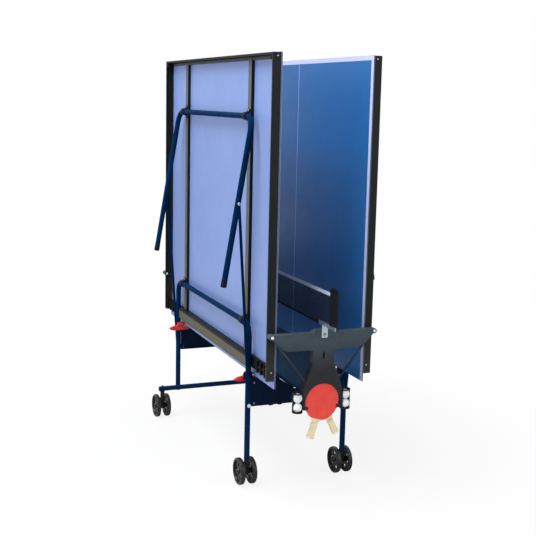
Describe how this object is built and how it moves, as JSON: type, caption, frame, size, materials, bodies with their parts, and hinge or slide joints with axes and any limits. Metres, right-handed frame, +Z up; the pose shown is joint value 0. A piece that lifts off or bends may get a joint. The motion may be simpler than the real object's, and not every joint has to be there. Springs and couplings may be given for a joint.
{
  "type": "folding table tennis table",
  "caption": "Folding table tennis table stored upright: two hinged halves with fold-out legs on a tube chassis with twin castors, net, and a bat and ball holder.",
  "frame": {"origin": "on the floor under the middle of the chassis", "axes": "+Z up, Y along the net with -Y at the end that holds the bats, X along the table"},
  "size_m": [0.729, 1.818, 1.869],
  "materials": {
    "board_blue": "weatherproof laminate, satin dark blue on the playing side and light blue below",
    "apron_black": "black powder coat",
    "rail_steel": "galvanised sheet",
    "tube_navy": "gloss powder coat",
    "panel_navy": "satin powder coat",
    "plastic_black": "moulded, fine grain",
    "holder_grey": "moulded, fine grain",
    "plastic_white": "smooth",
    "zinc": "zinc plated",
    "net_cloth": "woven mesh with a white tape",
    "bat_ply": "lacquered plywood",
    "bat_rubber": "smooth sheet",
    "latch_red": "moulded",
    "castor_black": "moulded",
    "wheel_black": "moulded, slightly worn"
  },
  "bodies": {
    "chassis": {"frame_left": "tube_navy", "frame_right": "tube_navy", "foot_tube": "tube_navy", "foot_caps": "plastic_black", "end_panel_front": "panel_navy", "end_panel_rear": "panel_navy", "centre_web": "panel_navy", "chassis_screws": "zinc", "pivot_pins": "plastic_white", "net_arms": "zinc", "net_posts": "plastic_black", "net": "net_cloth", "holder_front": "holder_grey", "holder_rear": "holder_grey", "balls": "plastic_white"},
    "bat_near": {"bat_near_wood": "bat_ply", "bat_near_rubber": "bat_rubber"},
    "bat_far": {"bat_far_wood": "bat_ply", "bat_far_rubber": "bat_rubber"},
    "half_left": {"board_left": "board_blue", "apron_front_left": "apron_black", "apron_rear_left": "apron_black", "apron_end_left": "apron_black", "rails_left": "rail_steel", "corner_blocks_left": "plastic_black", "clamps_left": "plastic_black", "half_screws_left": "zinc"},
    "leg_left": {"leg_frame_left": "tube_navy", "leg_feet_left": "plastic_black"},
    "strut_left": {"struts_left": "tube_navy", "strut_bolts_left": "zinc"},
    "half_right": {"board_right": "board_blue", "apron_front_right": "apron_black", "apron_rear_right": "apron_black", "apron_end_right": "apron_black", "rails_right": "rail_steel", "corner_blocks_right": "plastic_black", "clamps_right": "plastic_black", "half_screws_right": "zinc"},
    "leg_right": {"leg_frame_right": "tube_navy", "leg_feet_right": "plastic_black"},
    "strut_right": {"struts_right": "tube_navy", "strut_bolts_right": "zinc"},
    "latch_front_left": {"latch_front_left": "latch_red"},
    "latch_front_right": {"latch_front_right": "latch_red"},
    "latch_rear_left": {"latch_rear_left": "latch_red"},
    "latch_rear_right": {"latch_rear_right": "latch_red"},
    "castor_fl": {"castor_fl": "castor_black"},
    "wheel_fl_in": {"wheel_fl_in": "wheel_black"},
    "wheel_fl_out": {"wheel_fl_out": "wheel_black"},
    "castor_fr": {"castor_fr": "castor_black"},
    "wheel_fr_in": {"wheel_fr_in": "wheel_black"},
    "wheel_fr_out": {"wheel_fr_out": "wheel_black"},
    "castor_rl": {"castor_rl": "castor_black"},
    "wheel_rl_in": {"wheel_rl_in": "wheel_black"},
    "wheel_rl_out": {"wheel_rl_out": "wheel_black"},
    "castor_rr": {"castor_rr": "castor_black"},
    "wheel_rr_in": {"wheel_rr_in": "wheel_black"},
    "wheel_rr_out": {"wheel_rr_out": "wheel_black"}
  },
  "joints": [
    {"name": "fold_left", "type": "hinge", "parent": "chassis", "child": "half_left", "pos_m": [-0.232, 0, 0.728], "axis": [0, -1, 0], "range_deg": [0, 90]},
    {"name": "leg_fold_left", "type": "hinge", "parent": "half_left", "child": "leg_left", "pos_m": [-0.232, 0, 1.611], "axis": [0, 1, 0], "range_deg": [0, 80.5]},
    {"name": "strut_fold_left", "type": "hinge", "parent": "chassis", "child": "strut_left", "pos_m": [-0.232, 0, 0.36711], "axis": [0, -1, 0], "range_deg": [0, 86.53]},
    {"name": "fold_right", "type": "hinge", "parent": "chassis", "child": "half_right", "pos_m": [0.232, 0, 0.728], "axis": [0, 1, 0], "range_deg": [0, 90]},
    {"name": "leg_fold_right", "type": "hinge", "parent": "half_right", "child": "leg_right", "pos_m": [0.232, 0, 1.611], "axis": [0, -1, 0], "range_deg": [0, 80.5]},
    {"name": "strut_fold_right", "type": "hinge", "parent": "chassis", "child": "strut_right", "pos_m": [0.232, 0, 0.36711], "axis": [0, 1, 0], "range_deg": [0, 86.53]},
    {"name": "latch_front_left_slide", "type": "slide", "parent": "chassis", "child": "latch_front_left", "axis": [0, 0, 1], "range_m": [0, 0.008]},
    {"name": "latch_front_right_slide", "type": "slide", "parent": "chassis", "child": "latch_front_right", "axis": [0, 0, 1], "range_m": [0, 0.008]},
    {"name": "latch_rear_left_slide", "type": "slide", "parent": "chassis", "child": "latch_rear_left", "axis": [0, 0, 1], "range_m": [0, 0.008]},
    {"name": "latch_rear_right_slide", "type": "slide", "parent": "chassis", "child": "latch_rear_right", "axis": [0, 0, 1], "range_m": [0, 0.008]},
    {"name": "swivel_fl", "type": "hinge", "parent": "chassis", "child": "castor_fl", "pos_m": [-0.232, -0.53, 0.1], "axis": [0, 0, 1], "continuous": true},
    {"name": "roll_fl_in", "type": "hinge", "parent": "castor_fl", "child": "wheel_fl_in", "pos_m": [-0.232, -0.512, 0.06], "axis": [1, 0, 0], "continuous": true},
    {"name": "roll_fl_out", "type": "hinge", "parent": "castor_fl", "child": "wheel_fl_out", "pos_m": [-0.232, -0.512, 0.06], "axis": [1, 0, 0], "continuous": true},
    {"name": "swivel_fr", "type": "hinge", "parent": "chassis", "child": "castor_fr", "pos_m": [0.232, -0.53, 0.1], "axis": [0, 0, 1], "continuous": true},
    {"name": "roll_fr_in", "type": "hinge", "parent": "castor_fr", "child": "wheel_fr_in", "pos_m": [0.232, -0.512, 0.06], "axis": [1, 0, 0], "continuous": true},
    {"name": "roll_fr_out", "type": "hinge", "parent": "castor_fr", "child": "wheel_fr_out", "pos_m": [0.232, -0.512, 0.06], "axis": [1, 0, 0], "continuous": true},
    {"name": "swivel_rl", "type": "hinge", "parent": "chassis", "child": "castor_rl", "pos_m": [-0.325, 0.505, 0.1], "axis": [0, 0, 1], "continuous": true},
    {"name": "roll_rl_in", "type": "hinge", "parent": "castor_rl", "child": "wheel_rl_in", "pos_m": [-0.325, 0.523, 0.06], "axis": [1, 0, 0], "continuous": true},
    {"name": "roll_rl_out", "type": "hinge", "parent": "castor_rl", "child": "wheel_rl_out", "pos_m": [-0.325, 0.523, 0.06], "axis": [1, 0, 0], "continuous": true},
    {"name": "swivel_rr", "type": "hinge", "parent": "chassis", "child": "castor_rr", "pos_m": [0.325, 0.505, 0.1], "axis": [0, 0, 1], "continuous": true},
    {"name": "roll_rr_in", "type": "hinge", "parent": "castor_rr", "child": "wheel_rr_in", "pos_m": [0.325, 0.523, 0.06], "axis": [1, 0, 0], "continuous": true},
    {"name": "roll_rr_out", "type": "hinge", "parent": "castor_rr", "child": "wheel_rr_out", "pos_m": [0.325, 0.523, 0.06], "axis": [1, 0, 0], "continuous": true},
    {"name": "bat_near_pull", "type": "slide", "parent": "chassis", "child": "bat_near", "axis": [0, 0, -1], "range_m": [0, 0.16]},
    {"name": "bat_far_pull", "type": "slide", "parent": "chassis", "child": "bat_far", "axis": [0, 0, -1], "range_m": [0, 0.16]}
  ],
  "couplings": [
    {"joint": "leg_fold_left", "follows": "fold_left", "ratio": 0.89444},
    {"joint": "strut_fold_left", "follows": "fold_left", "ratio": 0.9613},
    {"joint": "leg_fold_right", "follows": "fold_right", "ratio": 0.89444},
    {"joint": "strut_fold_right", "follows": "fold_right", "ratio": 0.9613},
    {"joint": "bat_far_pull", "follows": "bat_near_pull", "ratio": 1}
  ]
}
